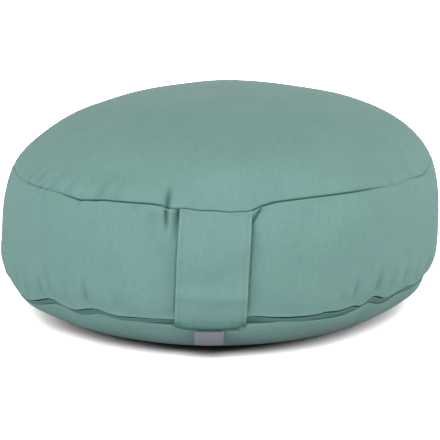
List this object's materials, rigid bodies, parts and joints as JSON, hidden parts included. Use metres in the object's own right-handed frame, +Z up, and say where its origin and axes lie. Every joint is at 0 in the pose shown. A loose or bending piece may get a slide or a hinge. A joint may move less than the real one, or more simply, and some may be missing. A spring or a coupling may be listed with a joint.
{
  "type": "zafu meditation cushion",
  "caption": "Round filled meditation cushion with a crowned top, bulging side band and flattened bottom, a flat carrying handle over the band, a zip round its foot and a small plain label.",
  "frame": {"origin": "on the floor, under the middle of the cushion", "axes": "+Z up from the floor through the crown; -Y is the front, where the handle and the label are; +X is to the right of someone who faces the handle"},
  "size_m": [0.3603, 0.3605, 0.1796],
  "materials": {
    "cover_cloth": "matt plain-woven cotton",
    "zip_cloth": "close-woven tape",
    "label_cloth": "close-woven label ribbon"
  },
  "bodies": {
    "root": {"cushion": "cover_cloth", "handle": "cover_cloth", "zip_tape": "zip_cloth", "label": "label_cloth"}
  },
  "joints": []
}
